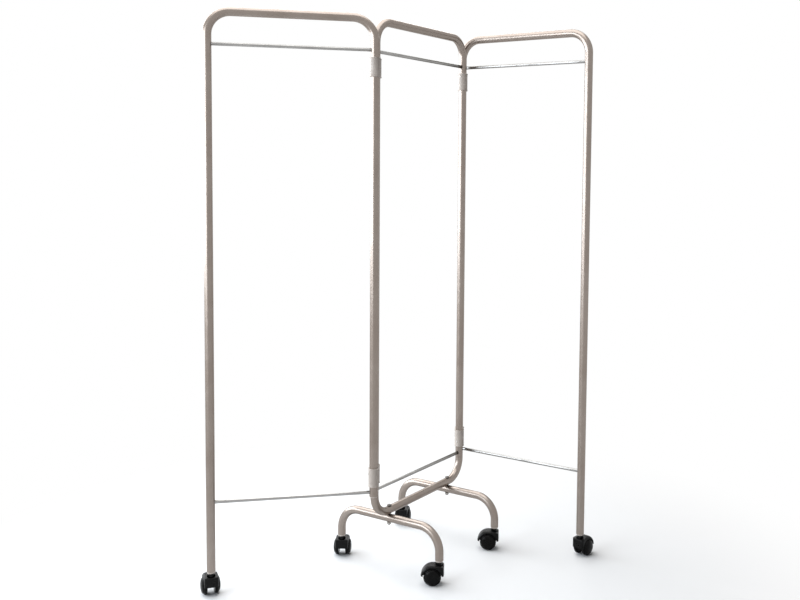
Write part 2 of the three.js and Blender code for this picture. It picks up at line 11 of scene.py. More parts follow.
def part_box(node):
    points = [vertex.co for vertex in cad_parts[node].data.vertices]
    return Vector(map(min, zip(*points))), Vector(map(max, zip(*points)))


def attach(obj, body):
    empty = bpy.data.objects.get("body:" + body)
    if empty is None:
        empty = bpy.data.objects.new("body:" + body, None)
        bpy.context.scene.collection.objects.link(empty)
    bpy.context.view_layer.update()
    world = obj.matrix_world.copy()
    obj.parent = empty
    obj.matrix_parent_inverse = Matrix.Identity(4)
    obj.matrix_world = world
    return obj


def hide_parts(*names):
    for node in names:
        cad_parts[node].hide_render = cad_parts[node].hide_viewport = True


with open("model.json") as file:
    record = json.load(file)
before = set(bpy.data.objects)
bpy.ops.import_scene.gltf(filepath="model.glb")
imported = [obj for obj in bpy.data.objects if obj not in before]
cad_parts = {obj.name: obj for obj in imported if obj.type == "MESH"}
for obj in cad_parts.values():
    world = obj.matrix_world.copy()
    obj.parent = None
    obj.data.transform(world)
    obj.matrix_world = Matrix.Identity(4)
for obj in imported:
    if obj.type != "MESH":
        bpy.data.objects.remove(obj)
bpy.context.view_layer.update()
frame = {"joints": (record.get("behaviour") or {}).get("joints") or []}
joints = {joint["name"]: joint for joint in frame["joints"]}

# Tube frames and feet
TUBE_RADIUS = 0.0127
TUBE_WALL = 0.0015
CORNER_RADIUS = 0.065
FOOT_BEND_RADIUS = 0.070
SPIGOT_LENGTH = 0.006
SPIGOT_ROOT = 0.005  # how far a spigot reaches down inside the rail's wall
SHORT_LEG_TAIL = 0.012  # of a wing's short leg below its lower rod
TUBE_SIDES = 48
BEND_STEPS = 18

# Curtain rods
ROD_RADIUS = 0.005
ROD_END_BREAK = 0.0008
ROD_HOLE_RADIUS = 0.0058
ROD_HOLE_MARGIN = 0.009  # from a hole's middle to the rings of edges beside it

# Bolts through the feet
BOLT_RADIUS = 0.004
BOLT_CLEARANCE = 0.0005
BOLT_HOLE_MARGIN = 0.008
BOLT_HOLE_REACH = 0.02  # of the cutter, above and below a tube's axis
BOLT_HEAD_RADIUS = 0.0074
BOLT_HEAD_HEIGHT = 0.0044
BOLT_HEAD_EDGE = 0.0012  # height of the head's rim below its dome
BOLT_HEAD_BREAK = 0.0003
SOCKET_RADIUS = 0.0029
SOCKET_FLOOR = 0.0018  # above the head's seat
THREAD_PITCH = 0.00125
THREAD_DEPTH = 0.0006
THREAD_LENGTH = 0.011
NUT_WIDTH = 0.013
NUT_CHAMFER = 0.0012
NUT_FACE_INSET = 0.0004
NUT_CLEARANCE = 0.0003

# Hinge clips
CLIP_BORE = 0.0132
CLIP_WALL = 0.0026
CLIP_LIP = 0.0009
CLIP_LIP_HEIGHT = 0.004
CLIP_NECK = 0.015
CLIP_EDGE = 0.0003
SCREW_HEAD_RADIUS = 0.0029
SCREW_HEAD_HEIGHT = 0.0013
LEFT_SCREW_DROPS = (0.040, 0.0175)  # from the tops of the upper and lower clip to their screws
RIGHT_SCREW_DROPS = (0.0095, 0.040)

# Tube ends
PLUG_CLEARANCE = 0.0011  # between a tube's bore and what is pushed into it
INSERT_FLANGE = 0.0045
END_PLUG_FLANGE = 0.003
END_PLUG_DEPTH = 0.0045

# Castors: stem on the Z axis, front wall towards +X, wheels trailing towards -X
TRAIL = 0.020
AXLE_RADIUS = 0.003
AXLE_GRIP = 0.013  # how far the axle reaches into each wheel
WHEEL_GAP = 0.0204
WHEEL_WIDTH = 0.0186
WHEEL_BORE_RADIUS = 0.0034
WHEEL_BORE_DEPTH = 0.0133
WHEEL_HUB_RADIUS = 0.0085
TREAD_START = 0.0026  # from the wheel's inner face, as is its end
TREAD_END = 0.0078
COVER_DISC_INSET = 0.0036  # from the tread to the edge of the cover disc
COVER_DISC_FOOT = 0.0034  # from the tread's end to the foot of the disc's dome
HOOD_RADIUS = 0.0359
HOOD_HALF_WIDTH = 0.0208
HOOD_RIM_RADIUS = 0.0302
HOOD_TIP_ROUND = 0.0035
HOOD_SHOULDER = 0.012
HOOD_FRONT = 0.0145
HOOD_FRONT_TOP = 0.0585
HOOD_FRONT_ROUND = 0.006
HOOD_CORNER_RADIUS = 0.007
HOOD_SKIRT = 0.030
HOOD_WEB = 0.0196
HOOD_EDGE = 0.0007
POCKET_RADIUS = 0.029
AXLE_BOSS_RADIUS = 0.010
AXLE_BORE_RADIUS = 0.0033
PIT_RADIUS = 0.0122
PIT_FLOOR = 0.051
STEM_SOCKET_FLOOR = 0.033
STEM_RADIUS = 0.0055
STEM_CLEARANCE = 0.0004
STEM_END_BREAK = 0.0006
NECK_RADIUS = 0.008
CASTORS = ("left_wing", "left_front", "left_back", "right_front", "right_back", "right_wing")

# Camera, fitted to the photograph: pixels, degrees, millimetres and metres
IMAGE_WIDTH = 800
IMAGE_HEIGHT = 600
OPTICAL_CENTRE = (486, 236)
FOCAL_LENGTH = 947.2
SENSOR_WIDTH = 36
CAMERA_YAW = 58.609
CAMERA_PITCH = -3.922
CAMERA_ROLL = 0.672
CAMERA_FROM_LEFT_HINGE = (-2.23806, -1.75267, 1.24765)

# Studio: lamps in watts, and a floor that fades to white between two distances
WINDOW_POWER = 100
OVERHEAD_POWER = 84
DAYLIGHT = (0.86, 0.93, 1.0)
SKY_LEVEL = 0.12
FLOOR_GREY = 0.76
FADE_START = 0.55
FADE_END = 1.5


# Materials


class Finish:
    """A material with one principled surface, whose patterns read object coordinates."""

    def __init__(self, name):
        self.material = bpy.data.materials.new(name)
        self.material.use_nodes = True
        self.nodes = self.material.node_tree.nodes
        self.links = self.material.node_tree.links
        self.surface = self.nodes["Principled BSDF"]
        self.place = self.nodes.new("ShaderNodeTexCoord").outputs["Object"]

    def set(self, **values):
        for name, value in values.items():
            self.surface.inputs[name.replace("_", " ")].default_value = value

    def noise(self, size, detail=3.0):
        """Cloudy noise whose lumps are about this many metres across."""
        cloud = self.nodes.new("ShaderNodeTexNoise")
        cloud.inputs["Scale"].default_value = 1 / size
        cloud.inputs["Detail"].default_value = detail
        self.links.new(self.place, cloud.inputs["Vector"])
        return cloud.outputs["Fac"]

    def ramp(self, factor, *stops):
        """Colours along a factor, as (place, colour) pairs."""
        ramp = self.nodes.new("ShaderNodeValToRGB")
        elements = ramp.color_ramp.elements
        while len(elements) < len(stops):
            elements.new(0.5)
        for element, (place, colour) in zip(elements, stops):
            element.position = place
            element.color = (*colour, 1)
        self.links.new(factor, ramp.inputs["Fac"])
        return ramp.outputs["Color"]

    def span(self, factor, low, high):
        """The middle range of a noise, spread from one value to another."""
        spread = self.nodes.new("ShaderNodeMapRange")
        for name, value in (("From Min", 0.3), ("From Max", 0.7), ("To Min", low), ("To Max", high)):
            spread.inputs[name].default_value = value
        self.links.new(factor, spread.inputs["Value"])
        return spread.outputs["Result"]

    def mix(self, factor, first, second):
        """One colour over another by a factor."""
        mixer = self.nodes.new("ShaderNodeMix")
        mixer.data_type = "RGBA"
        self.links.new(factor, mixer.inputs["Factor"])
        self.links.new(first, mixer.inputs["A"])
        self.links.new(second, mixer.inputs["B"])
        return mixer.outputs["Result"]

    def height(self, factor, depth, normal=None):
        """Relief of this depth in metres, over an earlier relief if there is one."""
        bump = self.nodes.new("ShaderNodeBump")
        bump.inputs["Strength"].default_value = 1
        bump.inputs["Distance"].default_value = depth
        self.links.new(factor, bump.inputs["Height"])
        if normal is not None:
            self.links.new(normal, bump.inputs["Normal"])
        return bump.outputs["Normal"]

    def use(self, **sources):
        for name, source in sources.items():
            self.links.new(source, self.surface.inputs[name.replace("_", " ")])


def silver_paint():
    """Satin silver-grey stove paint: fine flake, slight orange peel and faint handling marks."""
    finish = Finish("silver_paint")
    finish.set(Metallic=0.9, Specular_Tint=(0.44, 0.39, 0.35, 1))
    finish.set(Coat_Weight=0.6, Coat_Roughness=0.22, Coat_IOR=1.6)
    flake = finish.ramp(
        finish.noise(0.0006, 1), (0.35, (0.225, 0.185, 0.158)), (0.65, (0.290, 0.245, 0.215))
    )
    handled = finish.ramp(
        finish.noise(0.09, 4), (0.38, (0.220, 0.178, 0.150)), (0.62, (0.275, 0.235, 0.205))
    )
    even = finish.span(finish.noise(0.02), 0.35, 0.65)
    peel = finish.height(finish.noise(0.0016, 2), 0.00002)
    finish.use(
        Base_Color=finish.mix(even, flake, handled),
        Roughness=finish.span(finish.noise(0.03, 5), 0.27, 0.36),
        Normal=finish.height(finish.noise(0.0005, 1), 0.000004, peel),
    )
    return finish.material


def rod_chrome():
    """Bright plate with fine rubbing marks and a little haze."""
    finish = Finish("rod_chrome")
    finish.set(Metallic=1.0, Specular_Tint=(0.22, 0.22, 0.20, 1))
    plate = finish.ramp(
        finish.noise(0.05), (0.3, (0.30, 0.295, 0.288)), (0.7, (0.37, 0.365, 0.358))
    )
    finish.use(
        Base_Color=plate,
        Roughness=finish.span(finish.noise(0.004, 6), 0.10, 0.22),
        Normal=finish.height(finish.noise(0.0009, 3), 0.000002),
    )
    return finish.material


def pale_plastic():
    """Moulded plastic in a pale warm grey, a little yellowed."""
    finish = Finish("pale_plastic")
    finish.set(Specular_IOR_Level=0.45)
    yellowed = finish.ramp(
        finish.noise(0.025, 4), (0.3, (0.385, 0.335, 0.297)), (0.7, (0.45, 0.40, 0.358))
    )
    finish.use(
        Base_Color=yellowed,
        Roughness=finish.span(finish.noise(0.006, 4), 0.36, 0.50),
        Normal=finish.height(finish.noise(0.0008, 2), 0.000008),
    )
    return finish.material


def black_plastic(name, colour, gloss, low, high, grain):
    """Black moulded plastic with a fine grain and a thin film of dust."""
    finish = Finish(name)
    finish.set(Specular_IOR_Level=gloss)
    dusty = tuple(2 * part + 0.002 for part in colour)
    finish.use(
        Base_Color=finish.ramp(finish.noise(0.012, 5), (0.45, colour), (0.78, dusty)),
        Roughness=finish.span(finish.noise(0.005, 5), low, high),
        Normal=finish.height(finish.noise(0.0007, 2), grain),
    )
    return finish.material


def plated_steel(name, colour, roughness):
    """Zinc plate, slightly uneven in colour."""
    finish = Finish(name)
    finish.set(Metallic=1.0)
    pale = tuple(1.25 * part for part in colour)
    finish.use(
        Base_Color=finish.ramp(finish.noise(0.004, 4), (0.3, colour), (0.7, pale)),
        Roughness=finish.span(finish.noise(0.002, 4), roughness, roughness + 0.15),
    )
    return finish.material


PAINT = silver_paint()
CHROME = rod_chrome()
PALE = pale_plastic()
HOOD_BLACK = black_plastic("hood_black", (0.0022, 0.0021, 0.0021), 0.12, 0.24, 0.36, 0.00001)
WHEEL_BLACK = black_plastic("wheel_black", (0.0016, 0.0015, 0.0015), 0.09, 0.20, 0.32, 0.000006)
TREAD_BLACK = black_plastic("tread_black", (0.0030, 0.0028, 0.0028), 0.08, 0.45, 0.60, 0.00003)
ZINC = plated_steel("zinc_plate", (0.36, 0.34, 0.32), 0.28)
DARK_STEEL = plated_steel("dark_steel", (0.10, 0.092, 0.085), 0.32)


# Shaping


def flat_circle(mesh, radius, place, sides=TUBE_SIDES):
    """An open ring of edges; its plane is the XY plane of the place matrix."""
    made = bmesh.ops.create_circle(mesh, cap_ends=False, segments=sides, radius=radius, matrix=place)
    return list(dict.fromkeys(edge for vert in made["verts"] for edge in vert.link_edges))


def facing(origin, direction):
    """The place of a shape whose own +Z axis points this way."""
    return Matrix.Translation(origin) @ Vector(direction).to_track_quat("Z", "Y").to_matrix().to_4x4()


def closed_up(mesh):
    bmesh.ops.remove_doubles(mesh, verts=mesh.verts, dist=1e-6)
    bmesh.ops.recalc_face_normals(mesh, faces=mesh.faces)
    return mesh


def turned(profile, steps=TUBE_SIDES):
    """A body turned about the Z axis from (radius, height) pairs that run up its outside."""
    mesh = bmesh.new()
    verts = [mesh.verts.new((radius, 0, height)) for radius, height in profile]
    edges = [mesh.edges.new(pair) for pair in zip(verts, verts[1:])]
    bmesh.ops.spin(
        mesh, geom=verts + edges, cent=(0, 0, 0), axis=(0, 0, 1), angle=2 * math.pi, steps=steps,
        use_merge=True,
    )
    return closed_up(mesh)


def extruded(outline, low, high):
    """A flat outline in X and Y drawn up from one height to another."""
    mesh = bmesh.new()
    face = mesh.faces.new([mesh.verts.new((x, y, low)) for x, y in outline])
    made = bmesh.ops.extrude_face_region(mesh, geom=[face])
    moved = [item for item in made["geom"] if isinstance(item, bmesh.types.BMVert)]
    bmesh.ops.translate(mesh, verts=moved, vec=(0, 0, high - low))
    return closed_up(mesh)


def bent_tube(corners, bend, radius):
    """The skin of an open tube whose axis runs through square corners."""
    mesh = bmesh.new()
    corners = [Vector(corner) for corner in corners]
    heading = (corners[1] - corners[0]).normalized()
    at = corners[0]
    ring = flat_circle(mesh, radius, facing(at, heading))
    for corner, after in zip(corners[1:], corners[2:]):
        ring = straight_run(mesh, ring, corner - heading * bend - at)
        onward = (after - corner).normalized()
        centre = corner + (onward - heading) * bend
        ring = quarter_turn(mesh, ring, centre, heading.cross(onward))
        at, heading = corner + onward * bend, onward
    straight_run(mesh, ring, corners[-1] - at)
    return mesh


def straight_run(mesh, ring, run):
    """Draws a ring of edges out along a straight line and returns the new ring."""
    made = bmesh.ops.extrude_edge_only(mesh, edges=ring)["geom"]
    verts = [item for item in made if isinstance(item, bmesh.types.BMVert)]
    bmesh.ops.translate(mesh, verts=verts, vec=run)
    edges = [item for item in made if isinstance(item, bmesh.types.BMEdge)]
    return [edge for edge in edges if all(vert in verts for vert in edge.verts)]


def quarter_turn(mesh, ring, centre, axis):
    """Draws a ring of edges round a square bend and returns the new ring."""
    verts = list(dict.fromkeys(vert for edge in ring for vert in edge.verts))
    made = bmesh.ops.spin(
        mesh, geom=verts + ring, cent=centre, axis=axis, angle=math.pi / 2, steps=BEND_STEPS,
    )["geom_last"]
    return [item for item in made if isinstance(item, bmesh.types.BMEdge)]


def made_mesh(mesh, name):
    data = bpy.data.meshes.new(name)
    mesh.to_mesh(data)
    mesh.free()
    return data


def smooth(data, crease=32):
    data.shade_smooth()
    data.set_sharp_from_angle(angle=math.radians(crease))
    return data


def with_modifiers(data, *steps):
    """The mesh after a list of (modifier type, settings)."""
    body = bpy.data.objects.new("blank", data)
    bpy.context.scene.collection.objects.link(body)
    for number, (kind, settings) in enumerate(steps):
        modifier = body.modifiers.new(f"{kind}_{number}", kind)
        for name, value in settings.items():
            setattr(modifier, name, value)
    bpy.context.view_layer.update()
    finished = bpy.data.meshes.new_from_object(body.evaluated_get(bpy.context.evaluated_depsgraph_get()))
    bpy.data.objects.remove(body)
    return finished


def joined_with(data, operation, *tools):
    """The mesh cut by, joined to or kept within other closed meshes, one after another."""
    blocks = []
    for tool in tools:
        block = bpy.data.objects.new("tool", tool)
        bpy.context.scene.collection.objects.link(block)
        blocks.append(block)
    steps = [
        ("BOOLEAN", {"operation": operation, "solver": "MANIFOLD", "object": block}) for block in blocks
    ]
    shaped = with_modifiers(data, *steps)
    for block in blocks:
        bpy.data.objects.remove(block)
    return shaped


def tidied(data):
    """The mesh without the tiny edges and faces that a cut along a tangent leaves."""
    mesh = bmesh.new()
    mesh.from_mesh(data)
    bmesh.ops.remove_doubles(mesh, verts=mesh.verts, dist=0.00003)
    bmesh.ops.dissolve_degenerate(mesh, edges=mesh.edges, dist=0.00001)
    bmesh.ops.recalc_face_normals(mesh, faces=mesh.faces)
    return made_mesh(mesh, data.name)


def evened(data):
    """Shading that follows the large faces, for moulded bodies with cut-outs."""
    settings = {"mode": "FACE_AREA", "weight": 60, "keep_sharp": True}
    return with_modifiers(data, ("WEIGHTED_NORMAL", settings))


def soft_edges(data, width, segments=2, angle=60):
    """Moulded or broken edges, wherever the surface turns by more than this angle."""
    settings = {
        "width": width,
        "segments": segments,
        "limit_method": "ANGLE",
        "angle_limit": math.radians(angle),
        "harden_normals": False,
    }
    return with_modifiers(data, ("BEVEL", settings))


def peg(radius, start, end, sides=32):
    """A closed round bar between two points."""
    start, end = Vector(start), Vector(end)
    length = (end - start).length
    mesh = bmesh.new()
    bmesh.ops.create_cone(
        mesh, cap_ends=True, segments=sides, radius1=radius, radius2=radius, depth=length,
        matrix=facing((start + end) / 2, end - start),
    )
    return made_mesh(mesh, "peg")


def piece(name, data, body, finishes, slot, *nodes, place=Matrix.Identity(4)):
    """Puts a finished mesh in its place as a piece of the screen."""
    own = data.copy()
    own.name = name
    own.transform(place)
    own.materials.clear()
    for finish in finishes:
        own.materials.append(finish)
    item = bpy.data.objects.new(name, own)
    bpy.context.scene.collection.objects.link(item)
    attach(item, body)
    if nodes:
        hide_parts(*nodes)
    return item


# Places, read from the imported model


def middle(node):
    low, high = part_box(node)
    return (low + high) / 2


def upright_at(point):
    """The point on the floor below this one."""
    return Vector((point[0], point[1], 0))


def castor_place(place):
    """Where a castor stands, and the way that its front wall faces."""
    stem = upright_at(joints[f"{place}_swivel"]["pos_m"])
    axle = upright_at(joints[f"{place}_wheel_a_spin"]["pos_m"])
    forward = (stem - axle).normalized()
    return Matrix.Translation(stem) @ Matrix.Rotation(math.atan2(forward.y, forward.x), 4, "Z")


centre_low, centre_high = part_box("centre_frame")
centre_line = (centre_low.y + centre_high.y) / 2
rail_low, rail_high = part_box("centre_rail")
TOP = centre_high.z - TUBE_RADIUS
RAIL = rail_low.z + TUBE_RADIUS
RAIL_JOINT = rail_high.z - SPIGOT_LENGTH
AXLE_HEIGHT = joints["left_front_wheel_a_spin"]["pos_m"][2]
WHEEL_RADIUS = AXLE_HEIGHT
LEG_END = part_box("left_wing_frame")[0].z
SHORT_LEG_END = middle("left_lower_rod").z - SHORT_LEG_TAIL
PLUG_RADIUS = TUBE_RADIUS - TUBE_WALL - PLUG_CLEARANCE
BOLT_HOLE_RADIUS = BOLT_RADIUS + BOLT_CLEARANCE
STEM_BORE_RADIUS = STEM_RADIUS + STEM_CLEARANCE

centre_left = Vector((centre_low.x + TUBE_RADIUS, centre_line, 0))
centre_right = Vector((centre_high.x - TUBE_RADIUS, centre_line, 0))
uprights = {
    "centre": (centre_left, centre_right),
    "left": (upright_at(middle("left_end_plug")), upright_at(joints["left_wing_swivel"]["pos_m"])),
    "right": (upright_at(middle("right_end_plug")), upright_at(joints["right_wing_swivel"]["pos_m"])),
}


# Frames


def walled(mesh, cutters, rings):
    """Gives a tube's skin its wall and its drilled holes; rings are cut beside each hole first."""
    for centre, normal in rings:
        bmesh.ops.bisect_plane(
            mesh, geom=mesh.verts[:] + mesh.edges[:] + mesh.faces[:], plane_co=centre, plane_no=normal,
        )
    bmesh.ops.recalc_face_normals(mesh, faces=mesh.faces)
    skin = made_mesh(mesh, "tube")
    wall = {"thickness": TUBE_WALL, "offset": -1, "use_even_offset": False, "use_rim": True}
    tube = with_modifiers(skin, ("SOLIDIFY", wall))
    return smooth(joined_with(tube, "DIFFERENCE", *cutters))


def rod_holes(inner, outer, heights):
    """Cutters for the rods' holes, and the rings beside them."""
    reach = (outer - inner).normalized() * 2 * TUBE_RADIUS
    cutters, rings = [], []
    for height in heights:
        level = Vector((0, 0, height))
        cutters.append(peg(ROD_HOLE_RADIUS, inner + level, inner + level + reach))
        cutters.append(peg(ROD_HOLE_RADIUS, outer + level, outer + level - reach))
        rings += [(level + Vector((0, 0, way * ROD_HOLE_MARGIN)), (0, 0, 1)) for way in (-1, 1)]
    return cutters, rings


def raised(point, height):
    return Vector((point.x, point.y, height))


def wing_tube(side):
    inner, outer = uprights[side]
    heights = [middle(f"{side}_upper_rod").z, middle(f"{side}_lower_rod").z]
    mesh = bent_tube(
        [raised(inner, SHORT_LEG_END), raised(inner, TOP), raised(outer, TOP), raised(outer, LEG_END)],
        CORNER_RADIUS, TUBE_RADIUS,
    )
    return walled(mesh, *rod_holes(inner, outer, heights))


def centre_tube():
    """The inverted U of the centre frame, which ends just above the bends of the rail."""
    left, right = uprights["centre"]
    foot = centre_low.z
    heights = [middle("centre_upper_rod").z, middle("centre_lower_rod").z]
    mesh = bent_tube(
        [raised(left, foot), raised(left, TOP), raised(right, TOP), raised(right, foot)],
        CORNER_RADIUS, TUBE_RADIUS,
    )
    return walled(mesh, *rod_holes(left, right, heights))


def rail_tube():
    """The bottom rail with its bends, and the spigots that reach up into the uprights."""
    left, right = uprights["centre"]
    mesh = bent_tube(
        [raised(left, RAIL_JOINT), raised(left, RAIL), raised(right, RAIL), raised(right, RAIL_JOINT)],
        CORNER_RADIUS, TUBE_RADIUS,
    )
    cutters, rings = [], []
    for side in ("left", "right"):
        at = middle(f"{side}_foot_bolt")
        low, high = raised(at, RAIL - BOLT_HOLE_REACH), raised(at, RAIL + BOLT_HOLE_REACH)
        cutters.append(peg(BOLT_HOLE_RADIUS, low, high))
        rings += [(at + Vector((way * BOLT_HOLE_MARGIN, 0, 0)), (1, 0, 0)) for way in (-1, 1)]
    tube = walled(mesh, cutters, rings)
    return smooth(joined_with(tube, "UNION", spigot_mesh(left), spigot_mesh(right)))


def spigot_mesh(at):
    """A sleeve that starts inside the rail's wall and fills the bore of the upright above it."""
    bore = PLUG_RADIUS - TUBE_WALL
    shoulder, bottom = RAIL_JOINT - 0.0001, RAIL_JOINT - SPIGOT_ROOT
    top = RAIL_JOINT + SPIGOT_LENGTH
    seated = TUBE_RADIUS - TUBE_WALL / 2
    chamfer = 0.0005
    profile = [
        (bore, top), (bore, bottom), (seated, bottom), (seated, shoulder), (PLUG_RADIUS, shoulder),
        (PLUG_RADIUS, top - chamfer), (PLUG_RADIUS - chamfer, top), (bore, top),
    ]
    sleeve = turned(profile)
    sleeve.transform(Matrix.Translation(at))
    return made_mesh(sleeve, "spigot")


def foot_tube(side):
    at = middle(f"{side}_foot")
    low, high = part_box(f"{side}_foot")
    front, back = low.y + TUBE_RADIUS, high.y - TUBE_RADIUS
    level = high.z - TUBE_RADIUS
    corners = [(at.x, front, LEG_END), (at.x, front, level), (at.x, back, level), (at.x, back, LEG_END)]
    mesh = bent_tube(corners, FOOT_BEND_RADIUS, TUBE_RADIUS)
    hole = peg(BOLT_HOLE_RADIUS, raised(at, level - BOLT_HOLE_REACH), raised(at, level + BOLT_HOLE_REACH))
    rings = [((at.x, at.y + way * BOLT_HOLE_MARGIN, level), (0, 1, 0)) for way in (-1, 1)]
    return walled(mesh, [hole], rings)


def curtain_rod(node, inner, outer):
    """A plain rod with broken ends, as long as its CAD solid."""
    low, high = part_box(node)
    direction = (outer - inner).normalized()
    longest = max(abs(direction.x), abs(direction.y))
    across = ROD_RADIUS * (1 - longest ** 2) ** 0.5
    along = high.x - low.x if abs(direction.x) == longest else high.y - low.y
    half = direction * (along / 2 - across) / longest
    at = middle(node)
    rod = peg(ROD_RADIUS, at - half, at + half, 40)
    return smooth(soft_edges(rod, ROD_END_BREAK))


def build_frames():
    tubes = {"centre": centre_tube(), "left": wing_tube("left"), "right": wing_tube("right")}
    bodies = {"centre": "centre", "left": "left_wing", "right": "right_wing"}
    nodes = {"centre": "centre_frame", "left": "left_wing_frame", "right": "right_wing_frame"}
    for side, tube in tubes.items():
        piece(f"{side}_tube", tube, bodies[side], [PAINT], "frame_paint", nodes[side])
        for level in ("upper", "lower"):
            node = f"{side}_{level}_rod"
            rod = curtain_rod(node, *uprights[side])
            piece(f"{side}_{level}_curtain_rod", rod, bodies[side], [CHROME], "rod_chrome", node)
    piece("bottom_rail", rail_tube(), "centre", [PAINT], "frame_paint", "centre_rail")
    for side in ("left", "right"):
        piece(f"{side}_foot_tube", foot_tube(side), "centre", [PAINT], "frame_paint", f"{side}_foot")


# Foot bolts


def bolt_mesh(shank_bottom, seat):
    """A bolt with a low domed head, a socket in it, and thread on its tail."""
    head = BOLT_HEAD_RADIUS
    rise = BOLT_HEAD_HEIGHT - BOLT_HEAD_EDGE
    dome = [
        (head * math.cos(angle), seat + BOLT_HEAD_EDGE + rise * math.sin(angle))
        for angle in (math.radians(15 * step) for step in range(6))
    ]
    core = BOLT_RADIUS - THREAD_DEPTH
    thread = []
    height = shank_bottom + THREAD_DEPTH
    while height < shank_bottom + THREAD_LENGTH:
        thread += [(BOLT_RADIUS, height), (core, height + THREAD_PITCH / 2)]
        height += THREAD_PITCH
    profile = [(0, shank_bottom), (core, shank_bottom), *thread, (BOLT_RADIUS, height), (BOLT_RADIUS, seat)]
    profile += [(head - BOLT_HEAD_BREAK, seat), (head, seat + BOLT_HEAD_BREAK)]
    profile += [*dome, (0, seat + BOLT_HEAD_HEIGHT)]
    bolt = made_mesh(turned(profile, 36), "bolt")
    socket = peg(SOCKET_RADIUS, (0, 0, seat + SOCKET_FLOOR), (0, 0, seat + 0.01), 6)
    return smooth(joined_with(bolt, "DIFFERENCE", socket))


def nut_mesh(bottom, top):
    """A hexagon nut, chamfered on both faces."""
    corner = NUT_WIDTH / 2 / math.cos(math.pi / 6)
    face = NUT_WIDTH / 2 - NUT_FACE_INSET
    profile = [(0, bottom), (face, bottom), (corner, bottom + NUT_CHAMFER)]
    profile += [(corner, top - NUT_CHAMFER), (face, top), (0, top)]
    blank = made_mesh(turned(profile), "nut")
    below, above = (0, 0, bottom - 0.001), (0, 0, top + 0.001)
    nut = joined_with(blank, "INTERSECT", peg(corner - 0.0001, below, above, 6))
    bore = peg(BOLT_RADIUS + NUT_CLEARANCE, below, above)
    return smooth(joined_with(nut, "DIFFERENCE", bore))


def build_bolts():
    for side in ("left", "right"):
        bolt, nut = f"{side}_foot_bolt", f"{side}_foot_nut"
        place = Matrix.Translation(raised(middle(bolt), 0))
        low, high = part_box(bolt)
        made = bolt_mesh(low.z, high.z - BOLT_HEAD_HEIGHT - 0.0001)
        piece(f"{side}_button_bolt", made, "centre", [DARK_STEEL], "plated_steel", bolt, place=place)
        low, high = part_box(nut)
        piece(f"{side}_hex_nut", nut_mesh(low.z, high.z), "centre", [ZINC], "plated_steel", nut, place=place)


# Hinge clips


def clip_mesh(pitch, height):
    """A figure of eight from the first ring on the Z axis to the second along +X."""
    wall = CLIP_BORE + CLIP_WALL
    lip = wall + CLIP_LIP
    round_off = 0.0005
    profile = [
        (0, 0), (lip - round_off, 0), (lip - 0.00015, 0.00015), (lip, round_off), (lip - 0.0001, 0.0012),
        (wall + 0.0002, CLIP_LIP_HEIGHT - 0.0006), (wall, CLIP_LIP_HEIGHT),
    ]
    profile += [(radius, height - level) for radius, level in reversed(profile)]
    ring = made_mesh(turned(profile, 64), "ring")
    second = ring.copy()
    second.transform(Matrix.Translation((pitch, 0, 0)))
    half = CLIP_NECK / 2
    outline = [(0.004, -half), (pitch - 0.004, -half), (pitch - 0.004, half), (0.004, half)]
    web = made_mesh(extruded(outline, 0.0004, height - 0.0004), "web")
    bores = [peg(CLIP_BORE, (x, 0, -0.01), (x, 0, height + 0.01), 64) for x in (0, pitch)]
    blank = joined_with(ring, "UNION", second, web)
    return smooth(soft_edges(joined_with(blank, "DIFFERENCE", *bores), CLIP_EDGE, angle=40))


def screw_mesh():
    """A small pan-head screw with a cross recess; its head looks along +Z."""
    radius, height = SCREW_HEAD_RADIUS, SCREW_HEAD_HEIGHT
    shank, bottom = radius - 0.0008, -0.0012
    profile = [(0, bottom), (shank, bottom), (shank, 0), (radius, 0)]
    profile += [
        (radius * math.cos(angle), height * 0.35 + height * 0.65 * math.sin(angle))
        for angle in (math.radians(18 * step) for step in range(6))
    ]
    head = made_mesh(turned(profile, 28), "screw")
    slots = []
    for along, across in ((radius * 0.55, radius * 0.13), (radius * 0.13, radius * 0.55)):
        outline = [(-along, -across), (along, -across), (along, across), (-along, across)]
        slots.append(made_mesh(extruded(outline, height * 0.45, height * 2), "slot"))
    return smooth(joined_with(head, "DIFFERENCE", *slots))


def build_clips():
    screw = screw_mesh()
    # Each hinge: the upright that its clips are fixed to, the one that turns in them, the body
    # that they ride on, the far upright of their frame, and the screws' drops below the clips' tops.
    left_inner, left_outer = uprights["left"]
    hinges = {
        "left": (left_inner, centre_left, "left_wing", left_outer, LEFT_SCREW_DROPS),
        "right": (centre_right, uprights["right"][0], "centre", centre_left, RIGHT_SCREW_DROPS),
    }
    for side, (held, turning, body, far, drops) in hinges.items():
        across = turning - held
        place = Matrix.Translation(held) @ Matrix.Rotation(math.atan2(across.y, across.x), 4, "Z")
        inward = (far - held).normalized()
        for level, drop in zip(("upper", "lower"), drops):
            node = f"{side}_{level}_clip"
            low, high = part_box(node)
            clip = clip_mesh(across.length, high.z - low.z)
            seat = Matrix.Translation((0, 0, low.z)) @ place
            piece(f"{side}_{level}_hinge_clip", clip, body, [PALE], "pale_plastic", node, place=seat)
            surface = held + inward * (CLIP_BORE + CLIP_WALL - 0.0001)
            head = facing(raised(surface, high.z - drop), inward)
            piece(f"{side}_{level}_clip_screw", screw, body, [ZINC], "plated_steel", place=head)


# Tube ends


def flange_profile(height, radius):
    """The rounded rim that shows below a tube's end, as (radius, height) pairs up to its seat."""
    narrow = radius - 0.0008
    return [
        (narrow - 0.0009, 0), (narrow - 0.0003, 0.00025), (narrow, 0.0009), (radius, height - 0.0004),
        (radius, height),
    ]


